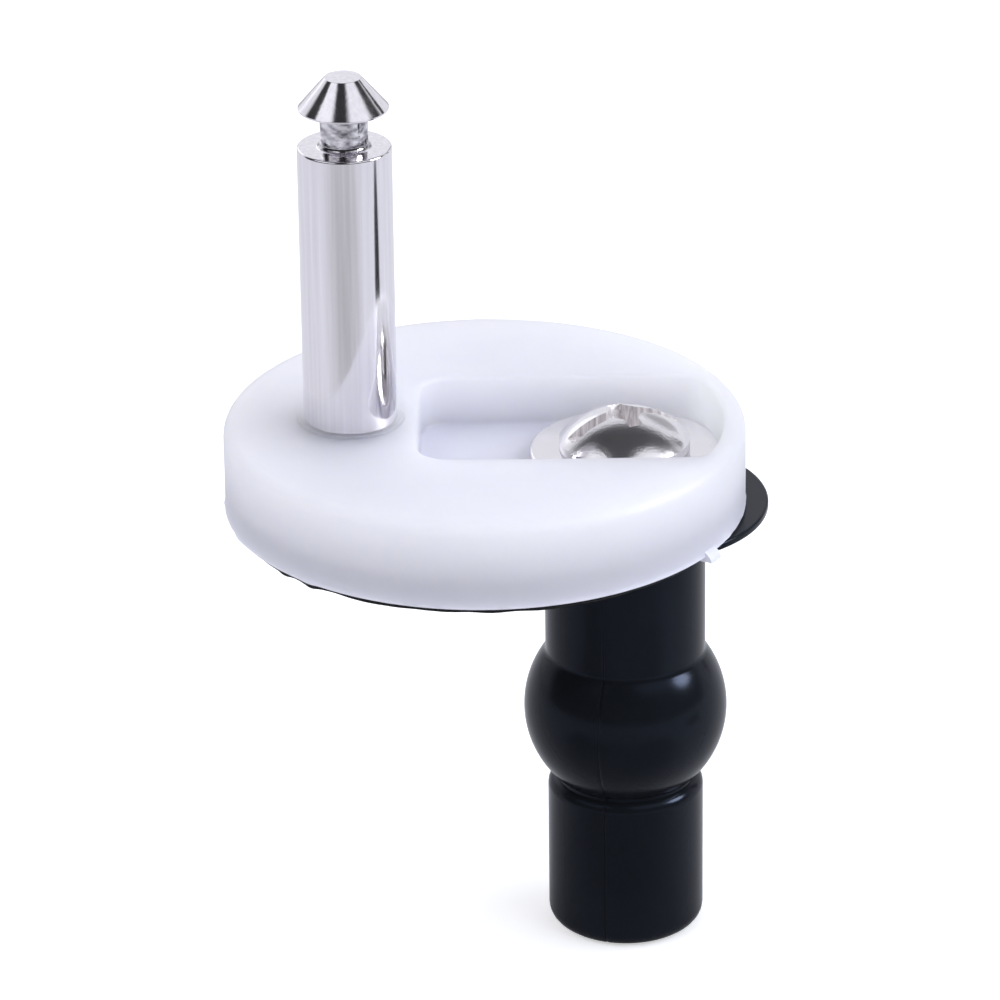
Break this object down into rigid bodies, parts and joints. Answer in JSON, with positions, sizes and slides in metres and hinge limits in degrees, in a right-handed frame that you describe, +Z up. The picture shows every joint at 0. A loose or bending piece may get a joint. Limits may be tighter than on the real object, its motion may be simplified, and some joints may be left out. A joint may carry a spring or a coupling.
{
  "type": "toilet seat hinge",
  "caption": "Top-fixing toilet seat hinge: round plastic base with an upright snap-head pin, and a screw in a pocket that swells a rubber plug in the pan's hole.",
  "frame": {"origin": "on the plug's axis, at the underside of its flange, which lies on the pan's deck", "axes": "+Z up along the hinge pin, -X from the plug towards the hinge pin"},
  "size_m": [0.0507, 0.0486, 0.0862],
  "materials": {
    "white_plastic": "moulded, satin, slightly translucent",
    "bright_plate": "polished nickel plate on turned steel",
    "stainless_steel": "cold-headed and tumbled, semi-bright",
    "black_rubber": "moulded, satin",
    "gasket_rubber": "die-cut sheet, matt",
    "zinc_plate": "zinc plated"
  },
  "bodies": {
    "plug": {"expansion_plug": "black_rubber"},
    "nut": {"plug_nut": "zinc_plate"},
    "screw": {"fixing_screw": "stainless_steel"},
    "washer": {"flat_washer": "stainless_steel"},
    "base": {"base_disc": "white_plastic", "base_gasket": "gasket_rubber", "hinge_pin": "bright_plate"}
  },
  "joints": [
    {"name": "screw_turn", "type": "hinge", "parent": "plug", "child": "screw", "pos_m": [0, 0, 0], "axis": [0, 0, -1], "range_deg": [0, 1800]},
    {"name": "nut_rise", "type": "slide", "parent": "plug", "child": "nut", "axis": [0, 0, 1], "range_m": [0, 0.005], "deforming": ["expansion_plug"]},
    {"name": "base_swivel", "type": "hinge", "parent": "plug", "child": "washer", "pos_m": [0, 0, 0], "axis": [0, 0, 1], "continuous": true},
    {"name": "base_shift", "type": "slide", "parent": "washer", "child": "base", "axis": [1, 0, 0], "range_m": [0, 0.0055]}
  ],
  "couplings": [
    {"joint": "nut_rise", "follows": "screw_turn", "m_per_rad": 0.00015915}
  ]
}
